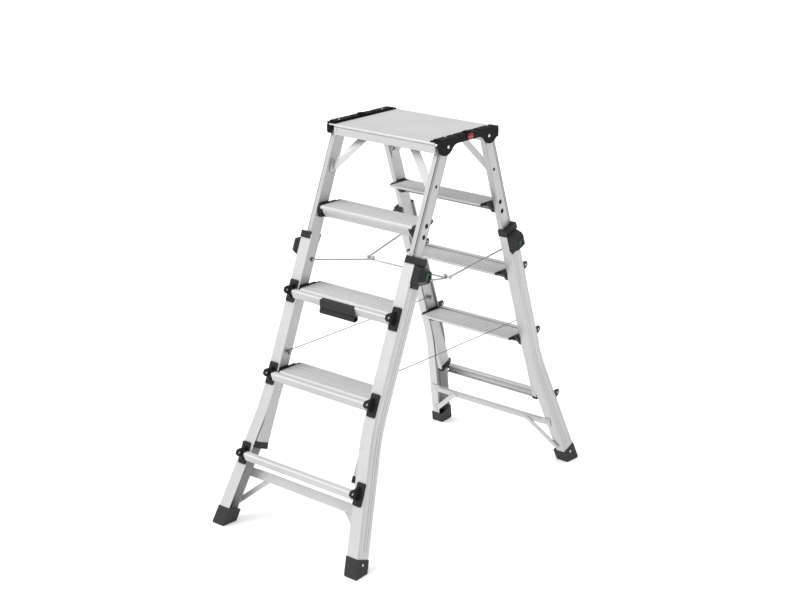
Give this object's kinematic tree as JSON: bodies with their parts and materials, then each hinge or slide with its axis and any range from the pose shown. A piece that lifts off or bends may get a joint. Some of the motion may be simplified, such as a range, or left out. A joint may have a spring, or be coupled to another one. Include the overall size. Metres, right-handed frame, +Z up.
{
  "type": "trestle ladder",
  "caption": "Double-sided folding trestle ladder with a standing platform, telescoping splayed legs, hinged top brackets, spring lock pins, a folding spreader and restraint wires.",
  "frame": {"origin": "on the floor, below the middle of the platform, with all four feet on the floor at z = 0", "axes": "+Z up, +X to the ladder's right along the treads, -Y towards the side with the carry grip (the front)"},
  "size_m": [0.6222, 1.2782, 1.3091],
  "materials": {
    "stile_aluminium": "anodised, fine lengthwise extrusion lines",
    "tread_aluminium": "anodised, grooved lengthwise",
    "deck_aluminium": "anodised, smooth",
    "apron_aluminium": "anodised",
    "brace_aluminium": "mill finish",
    "rivet_aluminium": "plain",
    "bolt_steel": "zinc plated",
    "hinge_black": "moulded, fine grain",
    "fitting_black": "moulded, fine grain",
    "collar_black": "moulded, fine grain",
    "release_green": "moulded",
    "latch_red": "moulded, satin",
    "foot_rubber": "moulded",
    "grip_rubber": "soft moulded",
    "anchor_steel": "dark phosphated",
    "rod_steel": "zinc plated",
    "wire_steel": "stranded"
  },
  "bodies": {
    "platform": {"deck_panel": "deck_aluminium", "apron_front": "apron_aluminium", "apron_back": "apron_aluminium", "hinge_bracket_right": "hinge_black", "hinge_bracket_left": "hinge_black", "hinge_bolts": "bolt_steel", "deck_rivets": "rivet_aluminium"},
    "latch_right": {"fold_latch_right": "latch_red"},
    "latch_left": {"fold_latch_left": "latch_red"},
    "front_inner": {"front_inner_stile_right": "stile_aluminium", "front_inner_stile_left": "stile_aluminium", "front_inner_tread_4": "tread_aluminium", "front_inner_tread_3": "tread_aluminium", "front_inner_tread_2": "tread_aluminium", "front_inner_end_caps": "fitting_black", "front_top_bracing": "brace_aluminium", "front_inner_rivets": "rivet_aluminium", "front_anchor_fittings": "anchor_steel"},
    "back_inner": {"back_inner_stile_right": "stile_aluminium", "back_inner_stile_left": "stile_aluminium", "back_inner_tread_4": "tread_aluminium", "back_inner_tread_3": "tread_aluminium", "back_inner_tread_2": "tread_aluminium", "back_inner_end_caps": "fitting_black", "back_top_bracing": "brace_aluminium", "back_inner_rivets": "rivet_aluminium", "back_anchor_fittings": "anchor_steel"},
    "front_outer": {"front_outer_stile_right": "stile_aluminium", "front_outer_stile_left": "stile_aluminium", "front_outer_tread_3": "tread_aluminium", "front_outer_tread_2": "tread_aluminium", "front_outer_tread_1": "tread_aluminium", "front_tread_brackets": "fitting_black", "front_lock_collars": "collar_black", "front_bottom_bracing": "brace_aluminium", "front_feet": "foot_rubber", "front_outer_rivets": "rivet_aluminium", "grip_handle": "grip_rubber"},
    "back_outer": {"back_outer_stile_right": "stile_aluminium", "back_outer_stile_left": "stile_aluminium", "back_outer_tread_3": "tread_aluminium", "back_outer_tread_2": "tread_aluminium", "back_outer_tread_1": "tread_aluminium", "back_tread_brackets": "fitting_black", "back_lock_collars": "collar_black", "back_bottom_bracing": "brace_aluminium", "back_feet": "foot_rubber", "back_outer_rivets": "rivet_aluminium"},
    "front_pin_right": {"front_lock_release_right": "release_green"},
    "front_pin_left": {"front_lock_release_left": "release_green"},
    "back_pin_right": {"back_lock_release_right": "release_green"},
    "back_pin_left": {"back_lock_release_left": "release_green"},
    "spreader_front": {"spreader_front_link": "rod_steel"},
    "spreader_back": {"spreader_back_rod_right": "rod_steel", "spreader_back_rod_left": "rod_steel"},
    "wires_front": {"wire_front_half_right": "wire_steel", "wire_front_half_left": "wire_steel"},
    "wires_back": {"wire_back_half_right": "wire_steel", "wire_back_half_left": "wire_steel"}
  },
  "joints": [
    {"name": "front_fold", "type": "hinge", "parent": "platform", "child": "front_inner", "pos_m": [0, -0.1095, 1.278], "axis": [1, 0, 0], "range_deg": [0, 21.1]},
    {"name": "back_fold", "type": "hinge", "parent": "platform", "child": "back_inner", "pos_m": [0, 0.1095, 1.278], "axis": [-1, 0, 0], "range_deg": [0, 21.1]},
    {"name": "latch_right_press", "type": "slide", "parent": "platform", "child": "latch_right", "axis": [-1, 0, 0], "range_m": [0, 0.004], "stiffness_N_per_m": 600},
    {"name": "latch_left_press", "type": "slide", "parent": "platform", "child": "latch_left", "axis": [1, 0, 0], "range_m": [0, 0.004], "stiffness_N_per_m": 600},
    {"name": "front_extend", "type": "slide", "parent": "front_inner", "child": "front_outer", "axis": [0, -0.36, -0.933], "range_m": [-0.28, 0.28]},
    {"name": "back_extend", "type": "slide", "parent": "back_inner", "child": "back_outer", "axis": [0, 0.36, -0.933], "range_m": [-0.28, 0.28]},
    {"name": "front_pin_right_pull", "type": "slide", "parent": "front_outer", "child": "front_pin_right", "axis": [1, 0, 0], "range_m": [0, 0.012], "stiffness_N_per_m": 600},
    {"name": "front_pin_left_pull", "type": "slide", "parent": "front_outer", "child": "front_pin_left", "axis": [-1, 0, 0], "range_m": [0, 0.012], "stiffness_N_per_m": 600},
    {"name": "back_pin_right_pull", "type": "slide", "parent": "back_outer", "child": "back_pin_right", "axis": [1, 0, 0], "range_m": [0, 0.012], "stiffness_N_per_m": 600},
    {"name": "back_pin_left_pull", "type": "slide", "parent": "back_outer", "child": "back_pin_left", "axis": [-1, 0, 0], "range_m": [0, 0.012], "stiffness_N_per_m": 600},
    {"name": "spreader_front_swing", "type": "hinge", "parent": "front_inner", "child": "spreader_front", "pos_m": [0, -0.26482, 0.85881], "axis": [1, 0, 0], "range_deg": [0, 56.94]},
    {"name": "spreader_back_swing", "type": "hinge", "parent": "back_inner", "child": "spreader_back", "pos_m": [0, 0.26482, 0.85881], "axis": [-1, 0, 0], "range_deg": [0, 54.78]},
    {"name": "wires_front_hang", "type": "hinge", "parent": "front_inner", "child": "wires_front", "pos_m": [0, -0.3813, 0.57362], "axis": [-1, 0, 0], "range_deg": [0, 94.43], "deforming": ["wire_front_half_right", "wire_front_half_left"]},
    {"name": "wires_back_hang", "type": "hinge", "parent": "back_inner", "child": "wires_back", "pos_m": [0, 0.3813, 0.57362], "axis": [1, 0, 0], "range_deg": [0, 94.43], "deforming": ["wire_back_half_right", "wire_back_half_left"]}
  ],
  "couplings": [
    {"joint": "back_fold", "follows": "front_fold", "ratio": 1},
    {"joint": "spreader_front_swing", "follows": "front_fold", "ratio": 2.6977},
    {"joint": "spreader_back_swing", "follows": "front_fold", "ratio": 2.5954},
    {"joint": "wires_front_hang", "follows": "front_fold", "ratio": 4.4745},
    {"joint": "wires_back_hang", "follows": "front_fold", "ratio": 4.4745}
  ]
}
